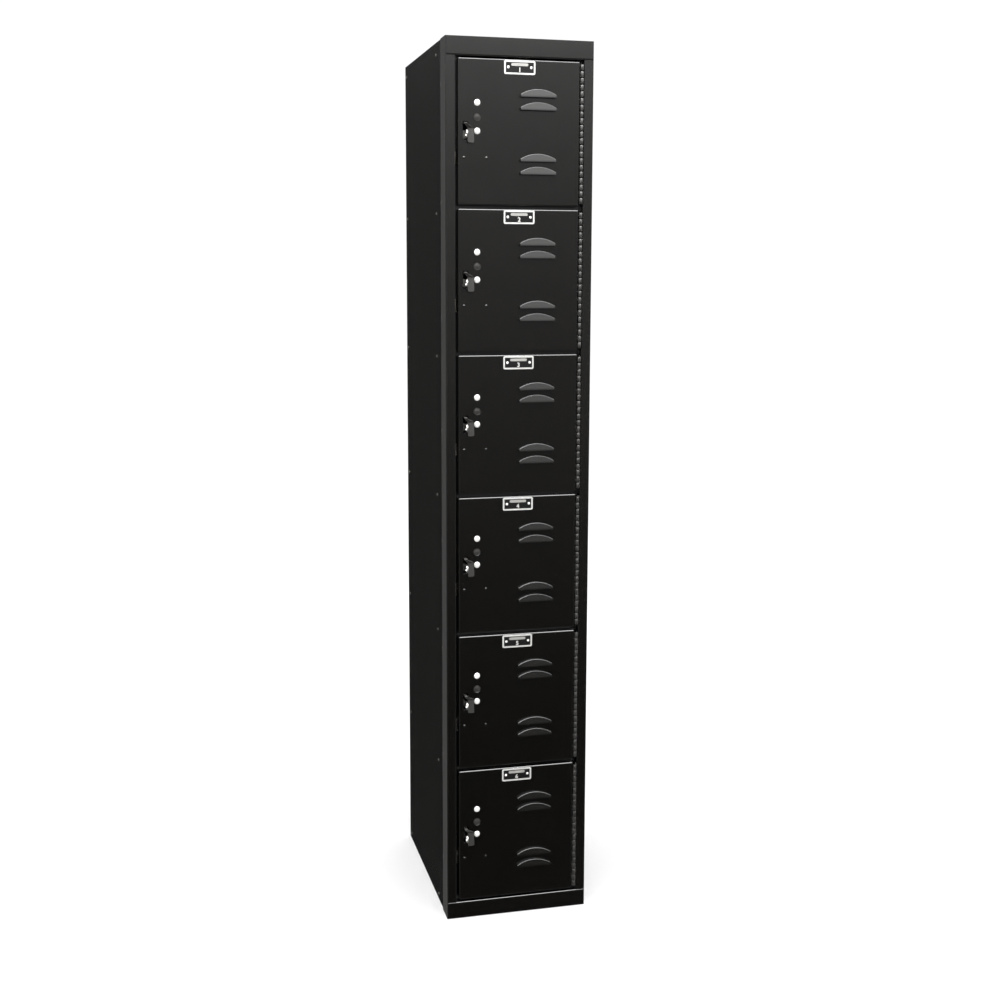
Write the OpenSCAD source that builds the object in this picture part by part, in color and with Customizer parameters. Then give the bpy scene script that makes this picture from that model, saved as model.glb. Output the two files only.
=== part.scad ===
// Six-tier steel box locker: a knock-down sheet steel cabinet with a welded face frame,
// six louvred doors on continuous knuckle hinges, and a padlock staple and pull on each door.
// Millimetres. +Z is up and the doors face -Y. The origin is on the floor, under the middle of
// the whole cabinet, with the staples that stand out of the front counted in its depth.

/* [Cabinet] */
// Width over the face frame
width = 304.8; // [280:1:460]
// Depth from the face frame to the back
depth = 457.2; // [300:1:610]
// Height of the cabinet
height = 1828.8; // [1500:1:2000]
// Thickness of the frame and door sheet
sheet = 1.5; // [1.2:0.1:2]
// Thickness of the panel and shelf sheet
panel = 1; // [0.8:0.1:1.2]

/* [Face frame] */
// Width of each upright's front face
upright_face = 20; // [18:1:30]
// Depth of each upright's outer side
upright_side = 48; // [40:1:60]
// Height of the header's front face
header_h = 36; // [30:1:60]
// Height of the base rail's front face
base_h = 36.5; // [30:0.5:60]
// Height of the rails between the doors
cross_h = 26; // [20:1:30]
// Distance from the front face to the door strike
strike_depth = 16.5; // [15:0.5:20]

/* [Doors] */
// Clearance between one door and the next
door_gap = 6.3; // [5:0.1:8]
// Clearance over the top door and under the bottom door
end_gap = 4.5; // [3:0.1:6]
// Clearance beside a door at its latch edge
latch_gap = 5.5; // [4:0.1:6]
// Depth of a door's return flanges
door_depth = 14; // [12:0.5:14]
// Width of a louvre at its mouth
louvre_w = 74; // [60:1:90]
// Height of a louvre
louvre_h = 16; // [12:1:20]
// Height of a louvre's blunt ends
louvre_end = 5.5; // [4:0.5:7]
// Distance that a louvre stands out
louvre_out = 7; // [4:0.5:8]

/* [Hinges] */
// Radius of the hinge barrel
barrel_r = 3.8; // [3:0.1:4.5]
// Radius of the hinge pin
pin_r = 1.5; // [1.2:0.1:1.8]
// Knuckles on one hinge, counting both leaves
knuckles = 21; // [7:2:25]

/* [Latch] */
// Distance that a padlock staple stands out
staple_out = 16; // [14:1:20]
// Radius of the staple's padlock eye
eye_r = 4.75; // [4:0.25:5]

/* [Hidden] */
$fn = 48;
doors = 6;
eps = 0.01;

front = staple_out - (depth + staple_out) / 2;
back = front + depth;
side_x = width / 2;
panel_x = side_x - sheet;
open_x = side_x - upright_face;
strike_y = front + strike_depth;
strike_reach = 10;
ledge = 24;
shelf_front = front + 22;
shelf_flange = 30;
back_flange = 14;

open_bottom = base_h;
open_top = height - header_h;
door_h = (open_top - open_bottom - 2 * end_gap - (doors - 1) * door_gap) / doors;
pitch = door_h + door_gap;
function door_top(n) = open_top - end_gap - (n - 1) * pitch;
function rail_z(n) = door_top(n) - door_h - door_gap / 2;

// The hinge axis stands in the gap at the right, just behind the front face
play = 0.4;
hinge_x = open_x - play - barrel_r;
hinge_y = front + 1;
door_left = -open_x + latch_gap;
door_right = hinge_x - barrel_r - play;
door_mid = (door_left + door_right) / 2;
leaf_t = 1.2;
leaf_y = hinge_y + barrel_r + play;
leaf_end = front + door_depth;
hinge_margin = 5;
knuckle_pitch = (door_h - 2 * hinge_margin) / knuckles;
knuckle_gap = 0.5;
pin_play = 0.06;

// A louvre is an arched hood with blunt ends that leans out to a straight lip, open below
louvre_x = door_mid + 38;
louvre_drops = [73, 98.4, 199, 224.4];
louvre_t = 1.2;
louvre_crest = 4.8;

// Places on a door, measured down from its top edge and across from the middle of the cabinet
bolt_x = -88;
bolt_drops = [86, 141];
bolt_r = 3;
bolt_head_r = 6.2;
lock_drop = 114;
lock_r = 7.5;
plug_x = [-115, -69];
plug_drop = 193;
plug_r = 1.6;
plate_w = 64;
plate_h = 27;
plate_t = 0.8;
plate_drop = 16;
plate_rivet_x = 23.5;
plate_rivet_r = 1.5;
hole_play = 0.1;
slot_x = -111.5;
slot_w = 11;
slot_drops = [123, 158];
staple_t = 2.5;
staple_drops = [139, 156];
eye_out = 8.6;
pull_t = 2;
pull_plate_x = [-108.5, -95.3];
pull_plate_drops = [135, 164];
pull_bow = 10;
pull_lean = 5;

// Rivets that join the side panels to the uprights, and to the shelves, top and bottom
rivet_r = 1.6;
rivet_head_r = 3;
rivet_head_h = 1.2;
strip_rivet_y = front + 44;
strip_rivet_zs = [for (k = [0:7]) 123.5 + 231 * k];
panel_rivet_ys = [front + 100, back - 20];
rivet_drop = 24;
shelf_tops = [for (n = [1:doors - 1]) rail_z(n) + cross_h / 2 + panel];
bottom_top = base_h + panel;
rivet_zs = concat([height - rivet_drop], [for (z = shelf_tops) z - rivet_drop],
    [bottom_top - rivet_drop]);

// Holes for fixing to the floor and a wall
floor_hole_r = 4.5;
floor_hole_x = 115;
floor_hole_y = front + 13;
wall_hole_r = 3.5;
wall_hole_x = 115;
wall_hole_z = height - 70;

door_nodes = ["door", "door_hinge_leaf", "door_pull", "number_plate", "lock_cover", "door_fasteners"];

black = [0.06, 0.06, 0.065];
dark_steel = [0.1, 0.1, 0.11];
zinc = [0.78, 0.79, 0.8];
alloy = [0.7, 0.71, 0.72];

// A box between two corners
module block(low, high) {
    translate(low) cube(high - low);
}

// A rod along Y, from y0 to y1
module rod_y(x, y0, y1, z, r) {
    translate([x, y0, z]) rotate([-90, 0, 0]) cylinder(r = r, h = y1 - y0);
}

// A rod along X, from x0 to x1
module rod_x(x0, x1, y, z, r) {
    translate([x0, y, z]) rotate([0, 90, 0]) cylinder(r = r, h = x1 - x0);
}

// A low domed head, standing up from z = 0
module dome(r, h) {
    ball = (pow(r, 2) + pow(h, 2)) / (2 * h);
    intersection() {
        translate([0, 0, h - ball]) sphere(r = ball);
        cylinder(r = r + 1, h = h + 1);
    }
}

module both_sides() {
    children();
    mirror([1, 0, 0]) children();
}

// Rivet holes through one side's sheets, on the left
module rivet_holes() {
    for (z = strip_rivet_zs) rod_x(-side_x - 1, -side_x + 6, strip_rivet_y, z, rivet_r + hole_play);
    for (z = rivet_zs, y = panel_rivet_ys)
        rod_x(-side_x - 1, -side_x + 6, y, z, rivet_r + hole_play);
}

// ---- Face frame ----

// The left upright: outer side, front face, inner return and door strike
module upright() {
    color(black) difference() {
        union() {
            block([-side_x, front, 0], [-panel_x, front + upright_side, height]);
            block([-side_x, front, open_bottom], [-open_x, front + sheet, open_top]);
            block([-open_x - sheet, front, open_bottom], [-open_x, strike_y + sheet, open_top]);
            block([-open_x - sheet, strike_y, open_bottom],
                [-open_x + strike_reach, strike_y + sheet, open_top]);
        }
        rivet_holes();
    }
}

module header() {
    color(black) {
        block([-panel_x, front, open_top], [panel_x, front + sheet, height]);
        block([-panel_x, front, open_top], [panel_x, strike_y + sheet, open_top + sheet]);
        block([-panel_x + 2, front, height - panel - sheet], [panel_x - 2, front + ledge, height - panel]);
    }
}

module base_rail() {
    color(black) difference() {
        union() {
            block([-panel_x, front, 0], [panel_x, front + sheet, base_h]);
            block([-panel_x + 2, front, base_h - sheet], [panel_x - 2, front + ledge, base_h]);
            block([-panel_x + 2, front, 0], [panel_x - 2, front + ledge, sheet]);
        }
        for (x = [-floor_hole_x, floor_hole_x])
            translate([x, floor_hole_y, -1]) cylinder(r = floor_hole_r, h = sheet + 2);
    }
}

// The rail behind the gap between door n and the door under it
module cross_rail(n) {
    z = rail_z(n);
    reach = open_x - strike_reach;
    color(black) {
        block([-reach, strike_y, z - cross_h / 2], [reach, strike_y + sheet, z + cross_h / 2]);
        for (low = [z - cross_h / 2, z + cross_h / 2 - sheet])
            block([-reach, strike_y, low], [reach, front + ledge + strike_depth, low + sheet]);
    }
}

// ---- Panels and shelves ----

module side_panel() {
    color(black) difference() {
        union() {
            block([-panel_x, front + upright_face, 0], [-panel_x + panel, back, height]);
            block([-panel_x, back - panel, 0], [-panel_x + back_flange, back, height]);
        }
        rivet_holes();
    }
}

module back_panel() {
    color(black) difference() {
        block([-panel_x + panel, back - 2 * panel, 0], [panel_x - panel, back - panel, height - panel]);
        for (x = [-wall_hole_x, wall_hole_x])
            rod_y(x, back - 3 * panel, back, wall_hole_z, wall_hole_r);
    }
}

// A tray turned down, with flanges at both sides and the back: top is the height of its upper face
module tray(top, from_y) {
    x = panel_x - panel;
    y = back - 2 * panel;
    color(black) difference() {
        union() {
            block([-x, from_y, top - panel], [x, y, top]);
            block([-x, y - panel, top - shelf_flange], [x, y, top]);
            both_sides() block([-x, shelf_front, top - shelf_flange], [-x + panel, y, top]);
        }
        both_sides() rivet_holes();
    }
}

module top_panel() {
    tray(height, front + sheet);
}

module bottom_panel() {
    tray(bottom_top, shelf_front);
}

module shelf(n) {
    tray(shelf_tops[n - 1], shelf_front);
}

// ---- Hinges ----

// Tubes of one leaf: the frame's leaf has the odd ones from the bottom, the door's leaf the even ones
module barrel_tubes(n, first, bore_r) {
    z0 = door_top(n) - door_h + hinge_margin;
    for (k = [first:2:knuckles - 1])
        translate([hinge_x, hinge_y, z0 + k * knuckle_pitch + knuckle_gap / 2])
            difference() {
                cylinder(r = barrel_r, h = knuckle_pitch - knuckle_gap);
                translate([0, 0, -1]) cylinder(r = bore_r, h = knuckle_pitch + 2);
            }
}

// A leaf with its tubes, lying against face_x; way is 1 on the door's side and -1 on the frame's
module hinge_leaf(n, first, face_x, way, bore_r) {
    z0 = door_top(n) - door_h + hinge_margin;
    low_x = way > 0 ? face_x : face_x - leaf_t;
    block([low_x, leaf_y, z0], [low_x + leaf_t, leaf_end, z0 + knuckles * knuckle_pitch]);
    difference() {
        union() {
            barrel_tubes(n, first, 0);
            for (k = [first:2:knuckles - 1]) {
                z = z0 + k * knuckle_pitch + knuckle_gap / 2;
                block([low_x, hinge_y, z], [low_x + leaf_t, leaf_y + 1, z + knuckle_pitch - knuckle_gap]);
            }
        }
        translate([hinge_x, hinge_y, z0 - 1]) cylinder(r = bore_r, h = door_h);
    }
}

module frame_hinge_leaves() {
    color(dark_steel) for (n = [1:doors]) hinge_leaf(n, 0, open_x, -1, pin_r);
}

module door_hinge_leaf(n) {
    color(dark_steel) hinge_leaf(n, 1, door_right, 1, pin_r + pin_play);
}

module hinge_pins() {
    color(zinc) for (n = [1:doors])
        translate([hinge_x, hinge_y, door_top(n) - door_h + hinge_margin])
            cylinder(r = pin_r, h = knuckles * knuckle_pitch);
}

// ---- Latch hardware on the frame ----

// A plate with a padlock eye, welded to the left strike and standing out through the door's slot
module staple(n) {
    low = door_top(n) - staple_drops[1];
    high = door_top(n) - staple_drops[0];
    mid = (low + high) / 2;
    tip_r = (high - low) / 2;
    x0 = slot_x - staple_t / 2;
    difference() {
        union() {
            block([x0, front - staple_out + tip_r, low], [x0 + staple_t, strike_y, high]);
            rod_x(x0, x0 + staple_t, front - staple_out + tip_r, mid, tip_r);
            block([-open_x + 6.9, strike_y - sheet, low], [x0 + staple_t, strike_y, high]);
        }
        rod_x(x0 - 1, x0 + staple_t + 1, front - eye_out, mid, eye_r);
    }
}

module padlock_staples() {
    color(zinc) for (n = [1:doors]) staple(n);
}

// A spring strip on the left return that grips the door's latch edge
module catch_spring(n) {
    z = door_top(n) - plug_drop;
    crest = door_left - 0.8;
    half = 12;
    translate([0, 0, z - half]) linear_extrude(height = 2 * half) polygon([
        [-open_x, strike_y], [-open_x, front + 4], [-open_x + 0.8, front + 4], [crest, front + 9],
        [crest, front + 10], [-open_x + 1.2, strike_y - 1.5], [crest, strike_y - 1],
        [crest, strike_y]]);
}

module catch_springs() {
    color(dark_steel) for (n = [1:doors]) catch_spring(n);
}

module frame_rivets() {
    color(zinc) both_sides() {
        for (z = strip_rivet_zs) rivet(-side_x, strip_rivet_y, z);
        for (z = rivet_zs, y = panel_rivet_ys) rivet(-panel_x, y, z);
    }
}

// A blind rivet with its head on the sheet at x
module rivet(x, y, z) {
    translate([x, y, z]) rotate([0, -90, 0]) dome(rivet_head_r, rivet_head_h);
    rod_x(x, -panel_x + 2 * panel + 1, y, z, rivet_r);
}

// ---- Doors ----

// Outline of a louvre where it leaves the door, drawn in by trim, down to z0
module louvre_arch(trim, z0) {
    half = louvre_w / 2 - trim;
    polygon(concat([[half, z0], [-half, z0]],
        [for (k = [-4:4]) [half * k / 4, louvre_end + (louvre_h - louvre_end) * (1 - k * k / 16) - trim]]));
}

// The hood as a solid, with its mouth at z = 0 and the door's face at y = 0
module louvre_form(trim, z0) {
    lip = -louvre_out + trim;
    intersection() {
        translate([0, eps, 0]) rotate([90, 0, 0])
            linear_extrude(height = louvre_out + 1) louvre_arch(trim, z0);
        rotate([90, 0, 90]) linear_extrude(height = louvre_w + 2, center = true)
            polygon([[eps, z0], [lip, z0], [lip, 2 - trim], [-louvre_crest + trim, louvre_h - trim],
                [eps, louvre_h - trim]]);
    }
}

// The hole in the door's sheet behind a louvre
module louvre_hole() {
    translate([0, sheet + 1, 0]) rotate([90, 0, 0]) linear_extrude(height = sheet + 2)
        louvre_arch(louvre_t, 0);
}

module door(n) {
    top = door_top(n);
    low = top - door_h;
    color(black) {
        difference() {
            block([door_left, front, low], [door_right, front + door_depth, top]);
            block([door_left + sheet, front + sheet, low + sheet],
                [door_right - sheet, front + door_depth + 1, top - sheet]);
            for (drop = louvre_drops) translate([louvre_x, front, top - drop]) louvre_hole();
            for (drop = bolt_drops)
                rod_y(bolt_x, front - 1, front + 3, top - drop, bolt_r + hole_play);
            rod_y(bolt_x, front - 1, front + 3, top - lock_drop, lock_r + hole_play);
            for (x = plug_x)
                rod_y(x, front - 1, front + 3, top - plug_drop, plug_r + hole_play);
            for (way = [-1, 1])
                rod_y(door_mid + way * plate_rivet_x, front - 1, front + 3, top - plate_drop,
                    plate_rivet_r + hole_play);
            block([slot_x - slot_w / 2, front - 1, top - slot_drops[1]],
                [slot_x + slot_w / 2, front + sheet + 1, top - slot_drops[0]]);
        }
        for (drop = louvre_drops) translate([louvre_x, front, top - drop]) difference() {
            louvre_form(0, 0);
            louvre_form(louvre_t, -1);
        }
    }
}

// A strap that bows out of the slot and ends in a plate on the door beside the staple
module door_pull(n) {
    top = door_top(n);
    x0 = slot_x - slot_w / 2 + 0.5;
    x1 = x0 + 6;
    z1 = top - slot_drops[0] - 0.5;
    z0 = z1 - pull_t;
    bow_y = front - pull_bow;
    color(black) {
        block([x0, bow_y, z0], [x1, front + sheet + pull_t, z1]);
        block([x0, front + sheet, z0], [x1, front + sheet + pull_t, z1 + 12]);
        translate([0, bow_y + pull_t, top]) rotate([90, 0, 0]) linear_extrude(height = pull_t)
            polygon([[x0, z0 - top], [x0, z1 - top], [x1, z1 - top],
                [pull_plate_x[0] + 6, -pull_plate_drops[0] + 3], [pull_plate_x[0] + 6, -pull_plate_drops[0]],
                [pull_plate_x[0], -pull_plate_drops[0]]]);
        block([pull_plate_x[0], bow_y, top - pull_plate_drops[0]],
            [pull_plate_x[0] + 6, front - 1, top - pull_plate_drops[0] + pull_t]);
        translate([pull_plate_x[0], 0, top]) rotate([90, 0, 90])
            linear_extrude(height = pull_plate_x[1] - pull_plate_x[0])
            polygon([[front - 1 - pull_t, pull_t - pull_plate_drops[0]], [front - 1, pull_t - pull_plate_drops[0]],
                [front - 1 - pull_lean, -pull_plate_drops[1]],
                [front - 1 - pull_lean - pull_t, -pull_plate_drops[1]]]);
    }
}

module number_plate(n) {
    z = door_top(n) - plate_drop;
    corner = 2.5;
    color(alloy) difference() {
        translate([door_mid, front, z]) rotate([90, 0, 0]) linear_extrude(height = plate_t) union() {
            square([plate_w, plate_h - 2 * corner], center = true);
            square([plate_w - 2 * corner, plate_h], center = true);
            for (x = [-1, 1], y = [-1, 1])
                translate([x * (plate_w / 2 - corner), y * (plate_h / 2 - corner)]) circle(r = corner);
        }
        for (way = [-1, 1])
            rod_y(door_mid + way * plate_rivet_x, front - 2, front + 1, z, plate_rivet_r + hole_play);
    }
}

// A plate inside the door with a round boss that fills the lock hole
module lock_cover(n) {
    top = door_top(n);
    half_w = 12;
    end = 10;
    color(black) difference() {
        union() {
            block([bolt_x - half_w, front + sheet, top - bolt_drops[1] - end],
                [bolt_x + half_w, front + 2 * sheet, top - bolt_drops[0] + end]);
            rod_y(bolt_x, front + 0.2, front + 2 * sheet, top - lock_drop, lock_r);
            rod_y(bolt_x, front - 0.6, front + 1, top - lock_drop, lock_r - 2.5);
        }
        for (drop = bolt_drops)
            rod_y(bolt_x, front, front + 4, top - drop, bolt_r + hole_play);
    }
}

// Bolts of the lock cover with their nuts, rivets of the number plate, and two hole plugs
module door_fasteners(n) {
    top = door_top(n);
    inner = front + 2 * sheet;
    color(zinc) {
        for (drop = bolt_drops) {
            translate([bolt_x, front, top - drop]) rotate([90, 0, 0]) dome(bolt_head_r, 2.6);
            rod_y(bolt_x, front, inner + 4.5, top - drop, bolt_r);
            translate([bolt_x, inner, top - drop]) rotate([-90, 0, 0]) cylinder(r = 5.5, h = 3, $fn = 6);
        }
        for (way = [-1, 1]) {
            x = door_mid + way * plate_rivet_x;
            translate([x, front - plate_t, top - plate_drop]) rotate([90, 0, 0]) dome(2.6, 1);
            rod_y(x, front - plate_t, front + 3, top - plate_drop, plate_rivet_r);
        }
    }
    color(dark_steel) for (x = plug_x) {
        translate([x, front, top - plug_drop]) rotate([90, 0, 0]) dome(2.6, 0.9);
        rod_y(x, front, front + 3, top - plug_drop, plug_r);
    }
}

upright();  // left_upright
mirror([1, 0, 0]) upright();  // right_upright
header();
base_rail();
side_panel();  // left_side_panel
mirror([1, 0, 0]) side_panel();  // right_side_panel
back_panel();
top_panel();
bottom_panel();
frame_hinge_leaves();
hinge_pins();
padlock_staples();
catch_springs();
frame_rivets();
for (n = [1:doors - 1]) {
    cross_rail(n);
    shelf(n);
}
for (n = [1:doors]) {
    door(n);
    door_hinge_leaf(n);
    door_pull(n);
    number_plate(n);
    lock_cover(n);
    door_fasteners(n);
}
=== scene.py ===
import math

import bpy
from mathutils import Matrix, Vector


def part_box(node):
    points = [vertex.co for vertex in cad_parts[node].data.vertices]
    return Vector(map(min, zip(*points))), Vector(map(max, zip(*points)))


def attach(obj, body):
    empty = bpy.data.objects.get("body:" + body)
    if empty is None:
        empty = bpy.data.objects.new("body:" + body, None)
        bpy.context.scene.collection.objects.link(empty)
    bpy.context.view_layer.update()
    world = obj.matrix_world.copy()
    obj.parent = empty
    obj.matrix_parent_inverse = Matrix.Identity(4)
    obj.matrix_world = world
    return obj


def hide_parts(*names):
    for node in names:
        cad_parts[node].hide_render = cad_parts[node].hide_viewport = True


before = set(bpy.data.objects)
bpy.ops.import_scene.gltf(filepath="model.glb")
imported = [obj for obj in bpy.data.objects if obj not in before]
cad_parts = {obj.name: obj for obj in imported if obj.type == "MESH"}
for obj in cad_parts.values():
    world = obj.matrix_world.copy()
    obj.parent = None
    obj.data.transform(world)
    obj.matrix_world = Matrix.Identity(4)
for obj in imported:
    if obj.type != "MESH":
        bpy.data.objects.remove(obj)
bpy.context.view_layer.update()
bpy.ops.object.select_all(action="DESELECT")
print("frame loaded")

mm = 0.001
doorCount = 6
upLow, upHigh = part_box("left_upright")
doorLow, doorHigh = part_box("door_1")
frontY = upLow[1]
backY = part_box("left_side_panel")[1][1]
sideX = -upLow[0]
panelX = -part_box("left_side_panel")[0][0]
cabinetTop = upHigh[2]
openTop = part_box("header")[0][2]
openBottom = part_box("base_rail")[1][2]
strikeX = upHigh[0]
doorTop = doorHigh[2]
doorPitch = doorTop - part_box("door_2")[1][2]


def pick(obj):
    bpy.ops.object.select_all(action="DESELECT")
    obj.select_set(True)
    bpy.context.view_layer.objects.active = obj


def settle(name):
    obj = bpy.context.active_object
    bpy.ops.object.transform_apply(location=True, rotation=True, scale=True)
    obj.name = name
    obj.data.name = name
    return obj


def block(name, low, high):
    low, high = Vector(low), Vector(high)
    bpy.ops.object.select_all(action="DESELECT")
    bpy.ops.mesh.primitive_cube_add(size=1, location=(low + high) / 2, scale=high - low)
    return settle(name)


def rod(name, start, end, radius, sides=32):
    start, end = Vector(start), Vector(end)
    along = end - start
    bpy.ops.object.select_all(action="DESELECT")
    bpy.ops.mesh.primitive_cylinder_add(
        vertices=sides,
        radius=radius,
        depth=along.length,
        location=(start + end) / 2,
        rotation=along.to_track_quat("Z", "Y").to_euler(),
    )
    return settle(name)


def chooseFaces(obj, wanted):
    pick(obj)
    bpy.ops.object.mode_set(mode="EDIT")
    bpy.ops.mesh.select_mode(type="FACE")
    bpy.ops.mesh.select_all(action="DESELECT")
    bpy.ops.object.mode_set(mode="OBJECT")
    for face in obj.data.polygons:
        face.select = wanted(face)
    bpy.ops.object.mode_set(mode="EDIT")


def chooseEdges(obj, wanted):
    pick(obj)
    bpy.ops.object.mode_set(mode="EDIT")
    bpy.ops.mesh.select_mode(type="EDGE")
    bpy.ops.mesh.select_all(action="DESELECT")
    bpy.ops.object.mode_set(mode="OBJECT")
    points = obj.data.vertices
    for edge in obj.data.edges:
        edge.select = wanted(points[edge.vertices[0]].co, points[edge.vertices[1]].co)
    bpy.ops.object.mode_set(mode="EDIT")


def choosePoints(obj, wanted):
    pick(obj)
    bpy.ops.object.mode_set(mode="EDIT")
    bpy.ops.mesh.select_mode(type="VERT")
    bpy.ops.mesh.select_all(action="DESELECT")
    bpy.ops.object.mode_set(mode="OBJECT")
    for point in obj.data.vertices:
        point.select = wanted(point.co)
    bpy.ops.object.mode_set(mode="EDIT")


def done():
    bpy.ops.object.mode_set(mode="OBJECT")


def useModifier(obj, kind, **settings):
    pick(obj)
    mod = obj.modifiers.new(kind.title(), kind)
    for key, value in settings.items():
        setattr(mod, key, value)
    bpy.ops.object.modifier_apply(modifier=mod.name)


def roundEdges(obj, width, segments=2, angle=40):
    useModifier(obj, "BEVEL", width=width, segments=segments, limit_method="ANGLE",
                angle_limit=math.radians(angle), use_clamp_overlap=True)


def thicken(obj, thickness, offset):
    useModifier(obj, "SOLIDIFY", thickness=thickness, offset=offset, use_even_offset=True,
                use_quality_normals=True)


def joined(name, parts):
    bpy.ops.object.select_all(action="DESELECT")
    for part in parts:
        part.select_set(True)
    bpy.context.view_layer.objects.active = parts[0]
    if len(parts) > 1:
        bpy.ops.object.join()
    parts[0].name = name
    parts[0].data.name = name
    return parts[0]


def cutAway(obj, cutters):
    tool = joined("cutter", cutters)
    useModifier(obj, "BOOLEAN", object=tool, operation="DIFFERENCE", solver="EXACT",
                use_self=False)
    bpy.data.objects.remove(tool)


def copied(obj, name, move=(0, 0, 0)):
    new = obj.copy()
    new.data = obj.data.copy()
    new.data.transform(Matrix.Translation(move))
    new.name = name
    new.data.name = name
    bpy.context.collection.objects.link(new)
    return new


def startLine(points):
    # one vertex, pulled along the line of points in edit mode
    bpy.ops.object.select_all(action="DESELECT")
    bpy.ops.mesh.primitive_plane_add(size=mm, location=points[0])
    obj = settle("line")
    bpy.ops.object.mode_set(mode="EDIT")
    bpy.ops.mesh.select_mode(type="VERT")
    bpy.ops.mesh.select_all(action="SELECT")
    bpy.ops.mesh.merge(type="CENTER")
    for here, there in zip(points, points[1:]):
        bpy.ops.mesh.extrude_region_move(TRANSFORM_OT_translate={"value": Vector(there) - Vector(here)})
    bpy.ops.mesh.select_all(action="SELECT")
    return obj


def foldedSheet(name, points, along, thickness, bend, offset):
    # a sheet folded along a line, drawn out by along, with rounded bends
    points = [Vector(point) for point in points]
    along = Vector(along)
    obj = startLine(points)
    bpy.ops.mesh.extrude_region_move(TRANSFORM_OT_translate={"value": along})
    done()
    inner = points[1:-1]

    def isBend(a, b):
        return any((a - point).cross(along).length < 1e-7 and (b - point).cross(along).length < 1e-7
                   for point in inner)

    if inner:
        chooseEdges(obj, isBend)
        bpy.ops.mesh.bevel(offset=bend, segments=4, affect="EDGES")
        done()
    thicken(obj, thickness, -offset)
    obj.name = name
    obj.data.name = name
    return obj


def turned(name, centre, axis, profile, steps=32):
    # a lathe: profile holds (radius, distance along the axis) in millimetres
    centre, axis = Vector(centre), Vector(axis).normalized()
    side = axis.orthogonal().normalized()
    points = [centre + side * radius * mm + axis * along * mm for radius, along in profile]
    obj = startLine(points)
    bpy.ops.mesh.spin(steps=steps, angle=math.tau, center=centre, axis=axis, use_auto_merge=False)
    bpy.ops.mesh.select_all(action="SELECT")
    bpy.ops.mesh.remove_doubles(threshold=0.00001)
    bpy.ops.mesh.normals_make_consistent(inside=False)
    done()
    obj.name = name
    obj.data.name = name
    return obj


def finishPiece(obj, material, body, replaced=(), smooth=35, flatFaces=True):
    pick(obj)
    bpy.ops.object.shade_smooth_by_angle(angle=math.radians(smooth))
    if flatFaces:
        useModifier(obj, "WEIGHTED_NORMAL", keep_sharp=True, weight=100)
    if material is not None:
        obj.data.materials.clear()
        obj.data.materials.append(material)
    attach(obj, body)
    if replaced:
        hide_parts(*replaced)


def linear(hexText):
    channels = [int(hexText[i:i + 2], 16) / 255 for i in (1, 3, 5)]
    return [c / 12.92 if c <= 0.04045 else ((c + 0.055) / 1.055) ** 2.4 for c in channels] + [1]


def addNode(tree, kind, settings=None, links=None):
    new = tree.nodes.new(kind)
    for key, value in (settings or {}).items():
        if key in new.inputs:
            new.inputs[key].default_value = value
        else:
            setattr(new, key, value)
    for key, source in (links or {}).items():
        tree.links.new(source, new.inputs[key])
    return new


def newMaterial(name):
    material = bpy.data.materials.new(name)
    material.use_nodes = True
    material.node_tree.nodes.clear()
    return material


def colourMix(tree, dark, pale, amount):
    # a Mix node's colour sockets go by number: 0 the factor, 6 and 7 the colours, 2 the result
    mix = addNode(tree, "ShaderNodeMix", {"data_type": "RGBA"})
    mix.inputs[6].default_value = linear(dark)
    mix.inputs[7].default_value = linear(pale)
    tree.links.new(amount, mix.inputs[0])
    return mix.outputs[2]


# Black powder coat on sheet steel, sprayed and baked: a low sheen, faint orange peel
# cells some 2.5 mm wide, and a slow drift in how black and how smooth it is.
def powderCoat(name, dark, pale, smoothest, roughest, sheen, peel):
    material = newMaterial(name)
    tree = material.node_tree
    place = addNode(tree, "ShaderNodeTexCoord")
    drift = addNode(tree, "ShaderNodeTexNoise", {"Scale": 7.0, "Detail": 3.0},
                    {"Vector": place.outputs["Object"]})
    colour = colourMix(tree, dark, pale, drift.outputs["Fac"])
    grain = addNode(tree, "ShaderNodeTexNoise", {"Scale": 400.0, "Detail": 2.0},
                    {"Vector": place.outputs["Object"]})
    cloud = addNode(tree, "ShaderNodeTexNoise", {"Scale": 22.0, "Detail": 4.0, "Roughness": 0.6},
                    {"Vector": place.outputs["Object"]})
    rough = addNode(tree, "ShaderNodeMapRange", {"To Min": smoothest, "To Max": roughest},
                    {"Value": cloud.outputs["Fac"]})
    bump = addNode(tree, "ShaderNodeBump", {"Strength": peel, "Distance": 0.0002},
                   {"Height": grain.outputs["Fac"]})
    shader = addNode(tree, "ShaderNodeBsdfPrincipled", {"IOR": 1.5, "Specular IOR Level": sheen},
                     {"Base Color": colour, "Roughness": rough.outputs["Result"],
                      "Normal": bump.outputs["Normal"]})
    addNode(tree, "ShaderNodeOutputMaterial", {}, {"Surface": shader.outputs["BSDF"]})
    return material


# Plated or bare metal hardware: pale and slightly mottled by its crystals. A dull white
# passivated skin hides part of the metal, so metallic is under 1 there.
def metalSkin(name, pale, dark, smoothest, roughest, grainScale, metallic):
    material = newMaterial(name)
    tree = material.node_tree
    place = addNode(tree, "ShaderNodeTexCoord")
    mottle = addNode(tree, "ShaderNodeTexNoise", {"Scale": grainScale, "Detail": 3.0},
                     {"Vector": place.outputs["Object"]})
    colour = colourMix(tree, dark, pale, mottle.outputs["Fac"])
    rough = addNode(tree, "ShaderNodeMapRange", {"To Min": smoothest, "To Max": roughest},
                    {"Value": mottle.outputs["Fac"]})
    shader = addNode(tree, "ShaderNodeBsdfPrincipled", {"Metallic": metallic},
                     {"Base Color": colour, "Roughness": rough.outputs["Result"]})
    addNode(tree, "ShaderNodeOutputMaterial", {}, {"Surface": shader.outputs["BSDF"]})
    return material


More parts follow.
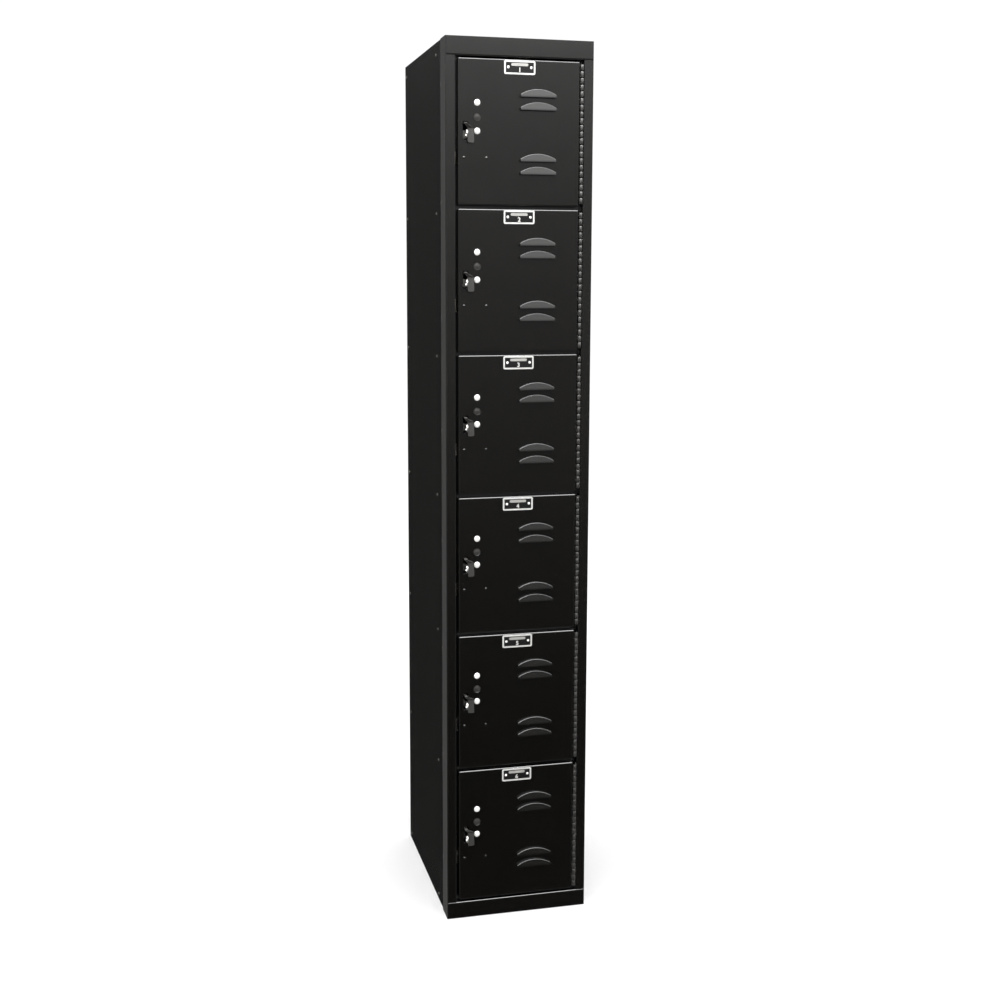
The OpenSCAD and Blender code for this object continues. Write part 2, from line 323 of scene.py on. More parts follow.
doorEnamel = powderCoat("doorPowderCoat", "#060504", "#090806", 0.15, 0.22, 0.5, 0.05)
frameEnamel = powderCoat("framePowderCoat", "#060504", "#090806", 0.16, 0.22, 0.6, 0.05)
# The upright's outer side strip is the same black coat as the rest of the frame. Its paler base colour is
# painted sheen, standing in for the light that strip catches; it is also rougher and glossier.
stripPaintedSheenEnamel = powderCoat("stripPaintedSheenPowderCoat", "#0d0c0a", "#11100d", 0.5, 0.6, 0.75, 0.05)
sideEnamel = powderCoat("sidePowderCoat", "#090907", "#0c0c0a", 0.18, 0.28, 0.5, 0.05)
hingeEnamel = powderCoat("hingePaint", "#161513", "#201f1c", 0.3, 0.42, 0.8, 0.08)
dipPaint = powderCoat("matteDipPaint", "#1c1b19", "#232220", 0.5, 0.62, 0.3, 0.15)
plateField = powderCoat("blackPlateInk", "#060606", "#0b0b0b", 0.3, 0.4, 0.3, 0.03)
capZinc = metalSkin("passivatedZinc", "#fdfcf9", "#e9e8e4", 0.34, 0.48, 900.0, 0.2)
zinc = metalSkin("brightZinc", "#c4c3bf", "#9d9c98", 0.22, 0.34, 900.0, 1.0)
barAlloy = metalSkin("wornAluminium", "#cfceca", "#85847f", 0.34, 0.5, 1400.0, 0.45)
alloy = metalSkin("satinAluminium", "#f4f4f1", "#d9d9d5", 0.3, 0.42, 700.0, 0.45)
dullAlloy = metalSkin("bareAluminium", "#8e8d88", "#63625e", 0.34, 0.5, 500.0, 0.75)
springSteel = metalSkin("oiledSpringSteel", "#77756f", "#55534e", 0.3, 0.45, 600.0, 1.0)
print("finishes mixed")

doorPan = {
    "sheet": 1.5,
    "bend": 3.0,
    "depth": 14,
    "slotX": -111.5,
    "slotWidth": 11,
    "slotDrops": (123, 158),
    "lockX": -88,
    "lockDrop": 114,
    "lockRadius": 7.6,
    "slotCorner": 1.5,
    "edge": 0.2,
}
louvre = {
    "mouth": 74,
    "height": 16,
    "end": 5.5,
    "out": 7,
    "crest": 4.8,
    "lip": 2.2,
    "sheet": 1.1,
    "round": 0.9,
    "sink": 0.3,
    "cutFrom": 4,
    "cutDeep": 8,
    "fromMiddle": 38,
    "drops": (73, 98.4, 199, 224.4),
}
doorMidX = (doorLow[0] + doorHigh[0]) / 2
louvreX = doorMidX + louvre["fromMiddle"] * mm


def louvreArch(name, drop, trim, start):
    # a flat arched outline with blunt ends on a straight mouth, cut from a large disc
    half = louvre["mouth"] / 2 - trim
    tall = louvre["height"] - trim
    rise = louvre["height"] - louvre["end"]
    radius = (half ** 2 + rise ** 2) / (2 * rise)
    mouth = Vector((louvreX, frontY, doorTop - drop * mm))
    bpy.ops.object.select_all(action="DESELECT")
    bpy.ops.mesh.primitive_circle_add(
        vertices=180,
        radius=radius * mm,
        fill_type="NGON",
        location=(louvreX, frontY + start * mm, mouth.z + (tall - radius) * mm),
        rotation=(math.radians(90), 0, 0),
    )
    obj = settle(name)
    bpy.ops.object.mode_set(mode="EDIT")
    for away in ((0, 0, 1), (1, 0, 0), (-1, 0, 0)):
        at = mouth - Vector(away) * half * mm
        if away[2]:
            at = mouth
        bpy.ops.mesh.select_all(action="SELECT")
        bpy.ops.mesh.bisect(plane_co=at, plane_no=away, clear_inner=True, threshold=1e-7)
    bpy.ops.mesh.select_all(action="SELECT")
    return obj, mouth


def louvreHood(drop):
    # the outline is drawn out, planed off along the hood's slope, softened and hollowed
    obj, mouth = louvreArch("hood", drop, 0, louvre["sink"])
    bpy.ops.mesh.extrude_region_move(
        TRANSFORM_OT_translate={"value": (0, -(louvre["out"] + louvre["sink"]) * mm, 0)})
    bpy.ops.mesh.select_all(action="SELECT")
    bpy.ops.mesh.normals_make_consistent(inside=False)
    fall = (louvre["height"] - louvre["lip"]) * mm
    run = (louvre["out"] - louvre["crest"]) * mm
    crest = (louvreX, frontY - louvre["crest"] * mm, mouth.z + louvre["height"] * mm)
    bpy.ops.mesh.bisect(plane_co=crest, plane_no=(0, -fall, run), clear_outer=True, threshold=1e-7)
    bpy.ops.mesh.select_mode(type="EDGE")
    bpy.ops.mesh.select_all(action="DESELECT")
    bpy.ops.mesh.select_non_manifold()
    bpy.ops.mesh.edge_face_add()
    bpy.ops.mesh.select_all(action="SELECT")
    bpy.ops.mesh.normals_make_consistent(inside=False)
    done()
    # the back, inside the door's sheet, and the open mouth below are left off
    chooseFaces(obj, lambda f: f.center.y > frontY + 0.2 * mm or f.center.z < mouth.z + 0.01 * mm)
    bpy.ops.mesh.delete(type="FACE")
    done()
    roundEdges(obj, louvre["round"] * mm, 4, 24)
    thicken(obj, louvre["sheet"] * mm, -1)
    return obj


def makeDoor():
    low = Vector((doorLow[0], frontY, doorLow[2]))
    high = Vector((doorHigh[0], frontY + doorPan["depth"] * mm, doorHigh[2]))
    door = block("doorPanel1", low, high)
    chooseFaces(door, lambda f: f.normal.y > 0.9)
    bpy.ops.mesh.delete(type="FACE")
    done()

    def isFold(a, b):
        return min(a.y, b.y) < frontY + 1e-5

    chooseEdges(door, isFold)
    bpy.ops.mesh.bevel(offset=doorPan["bend"] * mm, segments=5, affect="EDGES")
    done()
    thicken(door, doorPan["sheet"] * mm, -1)
    slotHalf = doorPan["slotWidth"] / 2
    slot = block("slot",
                 ((doorPan["slotX"] - slotHalf) * mm, frontY - 0.01, doorTop - doorPan["slotDrops"][1] * mm),
                 ((doorPan["slotX"] + slotHalf) * mm, frontY + 0.01, doorTop - doorPan["slotDrops"][0] * mm))
    chooseEdges(slot, lambda a, b: abs(a.y - b.y) > 0.01)
    bpy.ops.mesh.bevel(offset=doorPan["slotCorner"] * mm, segments=4, affect="EDGES")
    done()
    lockZ = doorTop - doorPan["lockDrop"] * mm
    cutters = [slot, rod("lockHole", (doorPan["lockX"] * mm, frontY - 0.01, lockZ),
                         (doorPan["lockX"] * mm, frontY + 0.01, lockZ), doorPan["lockRadius"] * mm, 48)]
    for drop in louvre["drops"]:
        mouthHole, mouth = louvreArch("mouthHole", drop, louvre["sheet"], louvre["cutFrom"])
        bpy.ops.mesh.extrude_region_move(
            TRANSFORM_OT_translate={"value": (0, -louvre["cutDeep"] * mm, 0)})
        bpy.ops.mesh.select_all(action="SELECT")
        bpy.ops.mesh.normals_make_consistent(inside=False)
        done()
        cutters.append(mouthHole)
    cutAway(door, cutters)
    roundEdges(door, doorPan["edge"] * mm, 1, 60)
    return joined("doorPanel1", [door] + [louvreHood(drop) for drop in louvre["drops"]])


firstDoor = makeDoor()
print("first door folded")

plate = {
    "border": 3.1,
    "corner": 3.4,
    "rivetX": 23.5,
    "barWidth": 35,
    "barHeight": 5.5,
    "barUp": 5.6,
    "figureUp": -8.6,
    "figureHeight": 8.6,
    "figureWeight": 0.35,
    "figureDepth": 0.12,
    "figureBack": 0.16,
    "fieldDepth": 0.25,
    "barCorner": 2.4,
    "edge": 0.2,
}
plateLow, plateHigh = [Vector(corner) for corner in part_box("number_plate_1")]
plateMid = (plateLow + plateHigh) / 2


def makePlate():
    obj = block("plate", plateLow, plateHigh)
    chooseEdges(obj, lambda a, b: abs(a.y - b.y) > 0.0005)
    bpy.ops.mesh.bevel(offset=plate["corner"] * mm, segments=5, affect="EDGES")
    done()
    roundEdges(obj, plate["edge"] * mm, 2, 60)
    obj.data.materials.append(alloy)
    obj.data.materials.append(plateField)
    chooseFaces(obj, lambda f: f.normal.y < -0.99)
    bpy.ops.mesh.inset(thickness=plate["border"] * mm)
    bpy.ops.mesh.extrude_region_move(TRANSFORM_OT_translate={"value": (0, plate["fieldDepth"] * mm, 0)})
    obj.active_material_index = 1
    bpy.ops.object.material_slot_assign()
    done()
    fieldY = plateLow.y + plate["fieldDepth"] * mm
    bar = block("bar",
                (plateMid.x - plate["barWidth"] / 2 * mm, plateLow.y + 0.02 * mm,
                 plateMid.z + (plate["barUp"] - plate["barHeight"] / 2) * mm),
                (plateMid.x + plate["barWidth"] / 2 * mm, fieldY + 0.1 * mm,
                 plateMid.z + (plate["barUp"] + plate["barHeight"] / 2) * mm))
    chooseEdges(bar, lambda a, b: abs(a.y - b.y) > 0.0001)
    bpy.ops.mesh.bevel(offset=plate["barCorner"] * mm, segments=5, affect="EDGES")
    done()
    bar.data.materials.append(barAlloy)
    return joined("numberPlate", [obj, bar])


def figure(text, down):
    bpy.ops.object.select_all(action="DESELECT")
    bpy.ops.object.text_add()
    obj = bpy.context.active_object
    obj.data.body = text
    obj.data.align_x = "CENTER"
    obj.data.size = plate["figureHeight"] * 1.4 * mm
    obj.data.extrude = plate["figureDepth"] * mm
    obj.data.offset = plate["figureWeight"] * mm
    obj.data.resolution_u = 4
    bpy.ops.object.convert(target="MESH")
    obj = bpy.context.active_object
    obj.rotation_euler = (math.radians(90), 0, 0)
    obj.location = (plateMid.x, plateLow.y + plate["figureBack"] * mm,
                    plateMid.z + plate["figureUp"] * mm - down)
    obj = settle("figure" + text)
    obj.data.materials.clear()
    obj.data.materials.append(alloy)
    return obj


firstPlate = makePlate()
print("number plate pressed")

pull = {
    "strapX": -116,
    "strapWidth": 6,
    "slide": 7.5,
    "plateWidth": 13.2,
    "sheet": 1.8,
    "line": ((3.3, 112.5), (3.3, 125.5), (-9.0, 125.5), (-9.0, 128.5), (-3.0, 135.5), (-6.0, 164)),
    "slideFrom": 130,
    "widenFrom": 134,
    "widenPast": 3,
    "bendDrops": (113, 163),
    "bend": 1.4,
    "footFrom": 163.5,
    "footCorner": 2.6,
    "edge": 0.45,
}


def makePull():
    left = pull["strapX"] * mm
    width = pull["strapWidth"] * mm
    points = [(left, frontY + y * mm, doorTop - drop * mm) for y, drop in pull["line"]]
    obj = startLine(points)
    bpy.ops.mesh.extrude_region_move(TRANSFORM_OT_translate={"value": (width, 0, 0)})
    done()
    choosePoints(obj, lambda p: p.z < doorTop - pull["slideFrom"] * mm)
    bpy.ops.transform.translate(value=(pull["slide"] * mm, 0, 0))
    done()
    choosePoints(obj, lambda p: p.z < doorTop - pull["widenFrom"] * mm
                 and p.x > left + (pull["slide"] + pull["widenPast"]) * mm)
    bpy.ops.transform.translate(value=((pull["plateWidth"] - pull["strapWidth"]) * mm, 0, 0))
    done()
    highDrop, lowDrop = pull["bendDrops"]
    chooseEdges(obj, lambda a, b: abs(a.z - b.z) < 1e-6
                and doorTop - lowDrop * mm < a.z < doorTop - highDrop * mm)
    bpy.ops.mesh.bevel(offset=pull["bend"] * mm, segments=3, affect="EDGES")
    done()
    choosePoints(obj, lambda p: p.z < doorTop - pull["footFrom"] * mm)
    bpy.ops.mesh.bevel(offset=pull["footCorner"] * mm, segments=4, affect="VERTICES")
    done()
    pick(obj)
    bpy.ops.object.mode_set(mode="EDIT")
    bpy.ops.mesh.select_all(action="SELECT")
    bpy.ops.mesh.normals_make_consistent(inside=False)
    done()
    thicken(obj, pull["sheet"] * mm, -1)
    roundEdges(obj, pull["edge"] * mm, 2, 50)
    return obj


firstPull = makePull()

cover = {"halfWidth": 12, "end": 10, "sheet": 1.5, "corner": 3, "edge": 0.3}
coverDisc = [(0, -1.2), (0, 0.45), (3.2, 0.45), (3.9, 0.1), (4.6, -0.25), (5.8, -0.35),
             (6.9, -0.25), (7.35, -0.7), (7.4, -2.0), (0, -2.0)]
boltX = doorPan["lockX"] * mm
boltDrops = (86, 141)


def makeCover():
    centre = (boltX, frontY, doorTop - doorPan["lockDrop"] * mm)
    disc = turned("disc", centre, (0, -1, 0), coverDisc, 48)
    sheet = block("sheet",
                  (boltX - cover["halfWidth"] * mm, frontY + doorPan["sheet"] * mm,
                   doorTop - (boltDrops[1] + cover["end"]) * mm),
                  (boltX + cover["halfWidth"] * mm, frontY + (doorPan["sheet"] + cover["sheet"]) * mm,
                   doorTop - (boltDrops[0] - cover["end"]) * mm))
    chooseEdges(sheet, lambda a, b: abs(a.y - b.y) > 0.001)
    bpy.ops.mesh.bevel(offset=cover["corner"] * mm, segments=4, affect="EDGES")
    done()
    roundEdges(sheet, cover["edge"] * mm, 1, 60)
    return joined("lockCover", [disc, sheet])


firstCover = makeCover()

boltHead = [(0, 1.9), (0.7, 1.95), (1.0, 2.45), (1.5, 2.5), (3.0, 2.22), (4.4, 1.65), (5.5, 0.95),
            (6.1, 0.35), (6.2, 0.12), (6.1, 0.0), (3.0, 0.0), (3.0, -7.5), (2.6, -7.5), (0, -7.5)]
rivetHead = [(0, 1.0), (0.9, 0.93), (1.8, 0.65), (2.4, 0.3), (2.6, 0.08), (2.5, 0), (1.5, 0),
             (1.5, -3.0), (0, -3.0)]
plugHead = [(0, 0.9), (0.9, 0.82), (1.8, 0.56), (2.4, 0.25), (2.6, 0.05), (1.6, 0), (1.6, -3.0), (0, -3.0)]
rivetX = plate["rivetX"] * mm
plugX = (-115 * mm, -69 * mm)
plugDrop = 193
nutSize = {"radius": 5.5, "from": 3, "to": 6, "edge": 0.4}


def makeFasteners():
    bright = []
    for drop in boltDrops:
        z = doorTop - drop * mm
        bright.append(turned("bolt", (boltX, frontY, z), (0, -1, 0), boltHead, 40))
        nut = rod("nut", (boltX, frontY + nutSize["from"] * mm, z), (boltX, frontY + nutSize["to"] * mm, z),
                  nutSize["radius"] * mm, 6)
        roundEdges(nut, nutSize["edge"] * mm, 2, 20)
        bright.append(nut)
    for way in (-1, 1):
        at = (doorMidX + way * rivetX, plateLow.y + 0.2 * mm, plateMid.z)
        bright.append(turned("rivet", at, (0, -1, 0), rivetHead, 24))
    bright = joined("bright", bright)
    bright.data.materials.append(capZinc)
    dark = joined("dark", [turned("plug", (x, frontY, doorTop - plugDrop * mm), (0, -1, 0), plugHead, 24)
                           for x in plugX])
    dark.data.materials.append(doorEnamel)
    return joined("doorFasteners", [bright, dark])


firstFasteners = makeFasteners()
print("door hardware turned")

hinge = {
    "knuckles": 21,
    "gap": 1.6,
    "radius": 3.8,
    "soften": 1.1,
    "pin": 1.5,
    "frameClearance": 0.02,
    "doorClearance": 0.06,
    "leaf": 1.2,
    "margin": 5,
    "play": 0.4,
    "webReach": (0.6, 5.5),
    "webEdge": 0.2,
    "leafEdge": 0.25,
}
pinLow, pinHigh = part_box("hinge_pins")
pinX = (pinLow[0] + pinHigh[0]) / 2
pinY = (pinLow[1] + pinHigh[1]) / 2
hingeLow = doorLow[2] + hinge["margin"] * mm
knucklePitch = (doorHigh[2] - doorLow[2] - 2 * hinge["margin"] * mm) / hinge["knuckles"]


def makeLeaf(name, first, outerX, way, bore):
    # a flat leaf against the sheet, with every second tube of the barrel rolled from it
    tall = knucklePitch - hinge["gap"] * mm
    at = hingeLow + first * knucklePitch + hinge["gap"] / 2 * mm
    tallMm = tall / mm
    radius, soft = hinge["radius"], hinge["soften"]
    tube = turned("tube", (pinX, pinY, at), (0, 0, 1), [
        (bore, 0), (radius - soft, 0), (radius - soft * 0.3, soft * 0.3), (radius, soft),
        (radius, tallMm - soft), (radius - soft * 0.3, tallMm - soft * 0.3), (radius - soft, tallMm),
        (bore, tallMm), (bore, 0)], 24)
    innerX = outerX + way * hinge["leaf"] * mm
    lowX, highX = min(outerX, innerX), max(outerX, innerX)
    near, far = hinge["webReach"]
    web = block("web", (lowX, pinY + near * mm, at), (highX, pinY + far * mm, at + tall))
    roundEdges(web, hinge["webEdge"] * mm, 1, 40)
    unit = joined("unit", [tube, web])
    count = (hinge["knuckles"] - first + 1) // 2
    parts = [unit] + [copied(unit, "unit", (0, 0, 2 * knucklePitch * k)) for k in range(1, count)]
    flat = block("flat", (lowX, pinY + (hinge["radius"] + hinge["play"]) * mm, hingeLow),
                 (highX, frontY + doorPan["depth"] * mm, hingeLow + hinge["knuckles"] * knucklePitch))
    roundEdges(flat, hinge["leafEdge"] * mm, 1, 40)
    return joined(name, parts + [flat])


leafOnFrame = makeLeaf("frameHingeLeaf", 0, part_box("frame_hinge_leaves")[1][0], -1,
                       hinge["pin"] + hinge["frameClearance"])
leafOnDoor = makeLeaf("doorHingeLeaf", 1, doorHigh[0], 1, hinge["pin"] + hinge["doorClearance"])
print("hinges rolled")

faceFrame = {
    "sheet": 1.5,
    "bend": 2.0,
    "face": 20,
    "side": 48,
    "strike": 16.5,
    "ledge": 19.5,
    "notch": 30,
    "headerFlange": 18,
    "topFlange": (1, 24),
    "topFlangeDrops": (1.05, 2.5),
    "topFlangeEnd": 2,
    "anchorX": 115,
    "anchorIn": 13,
    "anchorRadius": 4.5,
    "edge": 0.3,
    "headerEdge": 0.5,
}
sheet = faceFrame["sheet"] * mm
upX = sideX - faceFrame["face"] * mm


def atFront(y):
    return frontY + y * mm


staple = {
    "x": -111.5,
    "thickness": 2.5,
    "drops": (139, 156),
    "eyeOut": 8.6,
    "eyeRadius": 4.75,
    "edge": 0.5,
    "footIn": 6.9,
    "footSheet": 1.5,
    "footEdge": 0.3,
}


def makeStaple():
    half = staple["thickness"] / 2 * mm
    x = staple["x"] * mm
    low = doorTop - staple["drops"][1] * mm
    high = doorTop - staple["drops"][0] * mm
    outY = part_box("padlock_staples")[0][1]
    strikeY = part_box("padlock_staples")[1][1]
    obj = block("staple", (x - half, outY, low), (x + half, strikeY, high))
    chooseEdges(obj, lambda a, b: abs(a.x - b.x) > 0.001 and a.y < outY + 0.001)
    bpy.ops.mesh.bevel(offset=(high - low) / 2 * 0.99, segments=14, affect="EDGES")
    done()
    eyeY = frontY - staple["eyeOut"] * mm
    mid = (low + high) / 2
    cutAway(obj, [rod("eye", (x - 0.01, eyeY, mid), (x + 0.01, eyeY, mid), staple["eyeRadius"] * mm, 48)])
    roundEdges(obj, staple["edge"] * mm, 3, 50)
    foot = block("foot", (-upX + staple["footIn"] * mm, strikeY - staple["footSheet"] * mm, low),
                 (x + half, strikeY, high))
    roundEdges(foot, staple["footEdge"] * mm, 1, 50)
    return joined("padlockStaple", [obj, foot])


firstStaple = makeStaple()

for number in range(1, doorCount + 1):
    down = doorPitch * (number - 1)
    move = (0, 0, -down)
    body = "door_body_%d" % number
    door = copied(firstDoor, "doorPanel%d" % number, move)
    finishPiece(door, doorEnamel, body, ["door_%d" % number])
    leaf = copied(leafOnDoor, "doorHingeLeaf%d" % number, move)
    finishPiece(leaf, hingeEnamel, body, ["door_hinge_leaf_%d" % number],
                flatFaces=False)
    tag = copied(firstPlate, "blankPlate", move)
    tag = joined("numberPlate%d" % number, [tag, figure(str(number), down)])
    finishPiece(tag, None, body, ["number_plate_%d" % number])
    tab = copied(firstPull, "doorPull%d" % number, move)
    finishPiece(tab, dipPaint, body, ["door_pull_%d" % number])
    disc = copied(firstCover, "lockCover%d" % number, move)
    finishPiece(disc, dipPaint, body, ["lock_cover_%d" % number])
    bolts = copied(firstFasteners, "doorFasteners%d" % number, move)
    finishPiece(bolts, None, body, ["door_fasteners_%d" % number])

for first, name, material, slotName, node in (
        (leafOnFrame, "frameHingeLeaves", hingeEnamel, "hinge_enamel", "frame_hinge_leaves"),
        (firstStaple, "padlockStaples", zinc, "fastener_zinc", "padlock_staples")):
    copies = [copied(first, name, (0, 0, -doorPitch * k)) for k in range(1, doorCount)]
    whole = joined(name, [first] + copies)
    finishPiece(whole, material, "cabinet", [node], flatFaces=False)

for spare in (firstDoor, leafOnDoor, firstPlate, firstPull, firstCover, firstFasteners):
    bpy.data.objects.remove(spare)
print("doors hung")


def makeUpright():
    line = [(-sideX, atFront(faceFrame["side"])), (-sideX, frontY), (-upX, frontY),
            (-upX, atFront(faceFrame["strike"])), (strikeX, atFront(faceFrame["strike"]))]
    obj = foldedSheet("leftUpright", [(x, y, 0) for x, y in line], (0, 0, cabinetTop), sheet,
                      faceFrame["bend"] * mm, 1)
    deep = atFront(faceFrame["notch"])
    cutAway(obj, [
        block("notch", (-panelX, frontY - 0.01, openTop),
              (strikeX + 0.01, deep, cabinetTop + 0.01)),
        block("notch", (-panelX, frontY - 0.01, -0.01),
              (strikeX + 0.01, deep, openBottom)),
    ])
    roundEdges(obj, faceFrame["edge"] * mm, 2, 60)
    obj.data.materials.append(frameEnamel)
    # second slot: the paler coat with painted sheen, put on the upright's outer side face only
    obj.data.materials.append(stripPaintedSheenEnamel)
    chooseFaces(obj, lambda f: abs(f.normal.x) > 0.99 and f.center.x < -sideX + 0.1 * mm)
    obj.active_material_index = 1
    bpy.ops.object.material_slot_assign()
    done()
    return obj


leftUpright = makeUpright()
rightUpright = copied(leftUpright, "rightUpright")
rightUpright.data.transform(Matrix.Scale(-1, 4, (1, 0, 0)))
rightUpright.data.flip_normals()
finishPiece(leftUpright, None, "cabinet", ["left_upright"])
finishPiece(rightUpright, None, "cabinet", ["right_upright"])

header = foldedSheet("header", [(-panelX, atFront(faceFrame["headerFlange"]), openTop),
                                (-panelX, frontY, openTop), (-panelX, frontY, cabinetTop)],
                     (2 * panelX, 0, 0), sheet, faceFrame["bend"] * mm, 1)
roundEdges(header, faceFrame["headerEdge"] * mm, 2, 60)
flangeX = panelX - faceFrame["topFlangeEnd"] * mm
flangeNear, flangeFar = faceFrame["topFlange"]
highDrop, lowDrop = faceFrame["topFlangeDrops"]
flange = block("flange", (-flangeX, atFront(flangeNear), cabinetTop - lowDrop * mm),
               (flangeX, atFront(flangeFar), cabinetTop - highDrop * mm))
header = joined("header", [header, flange])
finishPiece(header, frameEnamel, "cabinet", ["header"])

baseRail = foldedSheet("baseRail", [(-panelX, atFront(faceFrame["ledge"]), openBottom),
                                    (-panelX, frontY, openBottom), (-panelX, frontY, 0),
                                    (-panelX, atFront(faceFrame["ledge"]), 0)],
                       (2 * panelX, 0, 0), sheet, faceFrame["bend"] * mm, 1)
anchorY = atFront(faceFrame["anchorIn"])
cutAway(baseRail, [rod("anchor", (x * mm, anchorY, -0.01), (x * mm, anchorY, 0.01),
                       faceFrame["anchorRadius"] * mm)
                   for x in (-faceFrame["anchorX"], faceFrame["anchorX"])])
roundEdges(baseRail, faceFrame["edge"] * mm, 2, 60)
finishPiece(baseRail, frameEnamel, "cabinet", ["base_rail"])

sidePanel = {"sheet": 1.0, "bend": 2.0, "lap": 20, "flange": 14, "edge": 0.2}
leftSide = foldedSheet("leftSidePanel", [(-panelX, atFront(sidePanel["lap"]), 0), (-panelX, backY, 0),
                                         (-panelX + sidePanel["flange"] * mm, backY, 0)],
                       (0, 0, cabinetTop), sidePanel["sheet"] * mm, sidePanel["bend"] * mm, -1)
roundEdges(leftSide, sidePanel["edge"] * mm, 1, 60)
rightSide = copied(leftSide, "rightSidePanel")
rightSide.data.transform(Matrix.Scale(-1, 4, (1, 0, 0)))
rightSide.data.flip_normals()
finishPiece(leftSide, sideEnamel, "cabinet", ["left_side_panel"])
finishPiece(rightSide, sideEnamel, "cabinet", ["right_side_panel"])

rivet = {"drop": 24, "stripIn": 44, "stripLow": 123.5, "stripPitch": 231, "stripCount": 8,
         "panelIn": 100, "fromBack": 20}
rivetLevels = [cabinetTop] + [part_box("shelf_%d" % k)[1][2] for k in range(1, doorCount)]
rivetLevels.append(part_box("bottom_panel")[1][2])
sideRivet = [(0, 1.2), (1.0, 1.12), (2.0, 0.78), (2.75, 0.3), (3.0, 0.05), (2.9, 0), (1.6, 0),
             (1.6, -4.0), (0, -4.0)]
oneRivet = turned("rivet", (0, 0, 0), (-1, 0, 0), sideRivet, 20)
heads = []
for k in range(rivet["stripCount"]):
    z = (rivet["stripLow"] + rivet["stripPitch"] * k) * mm
    heads.append(copied(oneRivet, "rivet", (-sideX, atFront(rivet["stripIn"]), z)))
for level in rivetLevels:
    z = level - rivet["drop"] * mm
    heads.append(copied(oneRivet, "rivet", (-panelX, atFront(rivet["panelIn"]), z)))
    heads.append(copied(oneRivet, "rivet", (-panelX, backY - rivet["fromBack"] * mm, z)))
bpy.data.objects.remove(oneRivet)
leftHeads = joined("frameRivets", heads)
rightHeads = copied(leftHeads, "rightHeads")
rightHeads.data.transform(Matrix.Scale(-1, 4, (1, 0, 0)))
rightHeads.data.flip_normals()
frameRivets = joined("frameRivets", [leftHeads, rightHeads])
finishPiece(frameRivets, dullAlloy, "cabinet", ["frame_rivets"])

for name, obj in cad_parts.items():
    finish = sideEnamel
    if name == "hinge_pins":
        finish = doorEnamel
    if name == "catch_springs":
        finish = springSteel
    obj.data.materials.clear()
    obj.data.materials.append(finish)
print("cabinet closed")

studio = {
    "lens": 49.58,
    "eye": (-0.7125, -2.9432, 1.3769),
    "turn": (81.9, -0.15, -13.86),
    "shiftY": -0.035,
    "floor": "#ffffff",
    "world": 1.03,
    "airGloss": ((-1.0, 0.0), (-0.45, 0.002), (-0.3, 0.02), (-0.2, 0.08), (0.0, 0.34), (0.08, 0.5),
                 (0.14, 0.9), (0.2, 1.6), (0.41, 3.6), (0.6, 8.0), (0.75, 18.0), (1.0, 26.0)),
    "airSides": 0.35,
    "airSideReach": (0.87, 0.68),
    "airFrontReach": (0.2, -0.5),
    "airRear": ((-1.0, 0.01), (-0.3, 0.02), (0.0, 0.035), (0.12, 0.05), (0.3, 0.2), (0.6, 0.9),
                (1.0, 1.6)),
}
cameraData = bpy.data.cameras.new("camera")
camera = bpy.data.objects.new("camera", cameraData)
bpy.context.collection.objects.link(camera)
camera.location = studio["eye"]
camera.rotation_euler = [math.radians(angle) for angle in studio["turn"]]
cameraData.lens = studio["lens"]
cameraData.sensor_width = 36
cameraData.shift_y = studio["shiftY"]
cameraData.clip_end = 200
bpy.context.scene.camera = camera

bpy.ops.object.select_all(action="DESELECT")
bpy.ops.mesh.primitive_plane_add(size=40)
floor = bpy.context.active_object
floor.name = "floor"
paint = newMaterial("paleFloor")
shader = addNode(paint.node_tree, "ShaderNodeBsdfPrincipled",
                 {"Base Color": linear(studio["floor"]), "Roughness": 1.0, "Specular IOR Level": 0.0})
addNode(paint.node_tree, "ShaderNodeOutputMaterial", {}, {"Surface": shader.outputs["BSDF"]})
floor.data.materials.append(paint)
floor.visible_glossy = False

# The room is plain white to the eye and for soft light. What the gloss mirrors is a large
# soft wall of light over the front, which fades out downwards and behind the cabinet, and
# a faint glow at either side.
world = bpy.data.worlds.new("studioAir")
bpy.context.scene.world = world
world.use_nodes = True
world.cycles.sampling_method = "NONE"
air = world.node_tree
air.nodes.clear()
toward = addNode(air, "ShaderNodeTexCoord")
parts = addNode(air, "ShaderNodeSeparateXYZ", {}, {"Vector": toward.outputs["Generated"]})
height = addNode(air, "ShaderNodeMapRange", {"From Min": -1.0, "From Max": 1.0},
                 {"Value": parts.outputs["Z"]})


def fadeUp(levels):
    # grey that follows the height of the direction, over the brightest of the levels
    ramp = addNode(air, "ShaderNodeValToRGB", {}, {"Fac": height.outputs["Result"]})
    stops = ramp.color_ramp.elements
    while len(stops) < len(levels):
        stops.new(0.5)
    for stop, (upward, value) in zip(stops, levels):
        stop.position = (upward + 1) / 2
        share = value / levels[-1][1]
        stop.color = (share, share, share, 1)
    return ramp


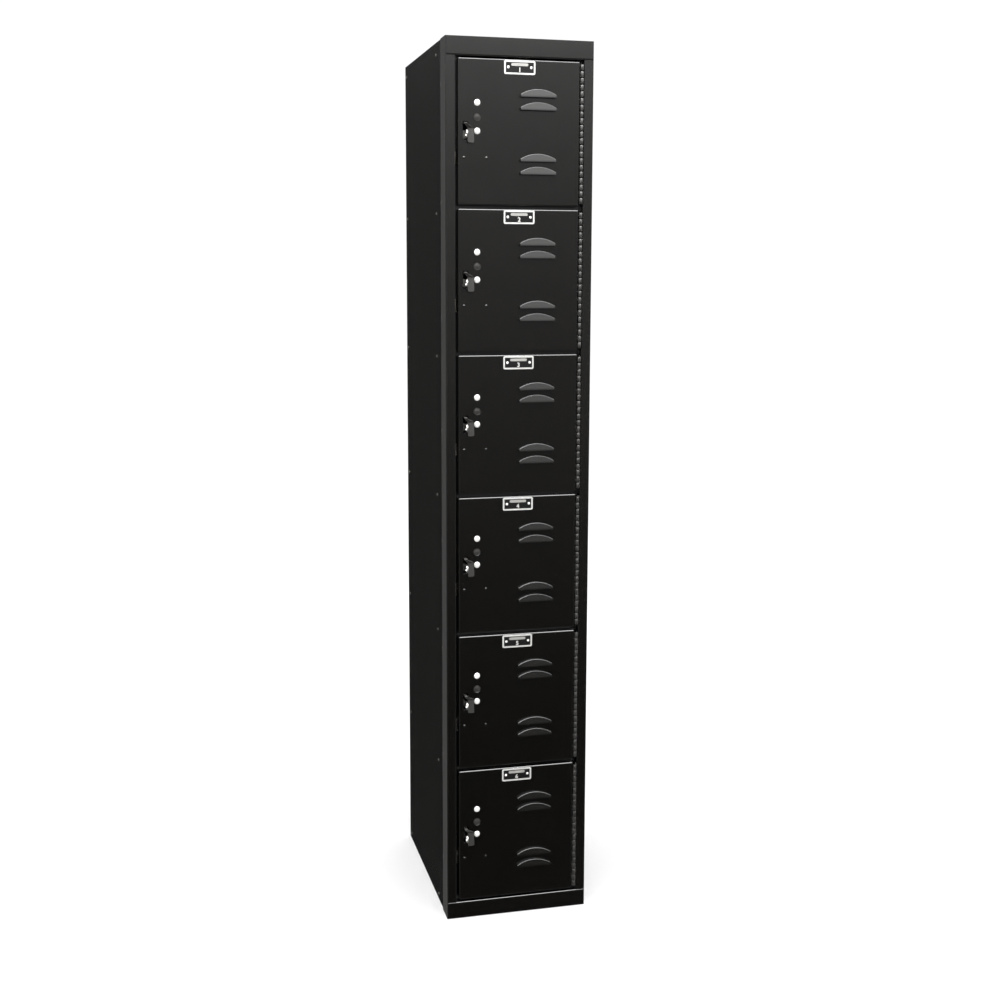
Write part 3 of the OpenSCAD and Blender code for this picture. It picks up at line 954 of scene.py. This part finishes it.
fade = fadeUp(studio["airGloss"])
facing = addNode(air, "ShaderNodeMapRange", {"interpolation_type": "SMOOTHSTEP",
                                             "From Min": studio["airFrontReach"][0],
                                             "From Max": studio["airFrontReach"][1],
                                             "To Min": 0.0,
                                             "To Max": studio["airGloss"][-1][1]},
                 {"Value": parts.outputs["Y"]})
dim = fadeUp(studio["airRear"])
rear = addNode(air, "ShaderNodeMath", {"operation": "MULTIPLY"})
air.links.new(dim.outputs["Color"], rear.inputs[0])
rear.inputs[1].default_value = studio["airRear"][-1][1]
level = addNode(air, "ShaderNodeMath", {"operation": "MULTIPLY_ADD"})
air.links.new(fade.outputs["Color"], level.inputs[0])
air.links.new(facing.outputs["Result"], level.inputs[1])
air.links.new(rear.outputs["Value"], level.inputs[2])
across = addNode(air, "ShaderNodeMath", {"operation": "ABSOLUTE"})
air.links.new(parts.outputs["Y"], across.inputs[0])
sides = addNode(air, "ShaderNodeMapRange", {"interpolation_type": "SMOOTHSTEP",
                                            "From Min": studio["airSideReach"][0],
                                            "From Max": studio["airSideReach"][1],
                                            "To Max": studio["airSides"]},
                {"Value": across.outputs["Value"]})
total = addNode(air, "ShaderNodeMath", {"operation": "ADD"})
air.links.new(level.outputs["Value"], total.inputs[0])
air.links.new(sides.outputs["Result"], total.inputs[1])
path = addNode(air, "ShaderNodeLightPath")
mirrored = addNode(air, "ShaderNodeBackground", {}, {"Color": total.outputs["Value"]})
plain = addNode(air, "ShaderNodeBackground", {"Color": (1, 1, 1, 1), "Strength": studio["world"]})
either = addNode(air, "ShaderNodeMixShader", {}, {"Fac": path.outputs["Is Glossy Ray"]})
air.links.new(plain.outputs["Background"], either.inputs[1])
air.links.new(mirrored.outputs["Background"], either.inputs[2])
addNode(air, "ShaderNodeOutputWorld", {}, {"Surface": either.outputs["Shader"]})

lamps = {
    "overheadBox": {"at": (-0.3, -1.3, 3.6), "aim": (0, -0.2, 1.2), "size": (2.0, 0.6), "power": 45},
    "rightBox": {"at": (3.2, 1.0, 2.0), "aim": (0, 0, 1.0), "size": (1.6, 2.6), "power": 10},
    "backBox": {"at": (1.6, 3.8, 2.2), "aim": (0, 0, 1.0), "size": (1.4, 2.0), "power": 6},
}
for name, lamp in lamps.items():
    light = bpy.data.lights.new(name, "AREA")
    light.shape = "RECTANGLE"
    light.size, light.size_y = lamp["size"]
    light.energy = lamp["power"]
    holder = bpy.data.objects.new(name, light)
    bpy.context.collection.objects.link(holder)
    holder.visible_camera = False
    holder.location = lamp["at"]
    aim = Vector(lamp["aim"]) - Vector(lamp["at"])
    holder.rotation_euler = aim.to_track_quat("-Z", "Y").to_euler()
bpy.context.scene.view_settings.view_transform = "Standard"
print("studio lit")
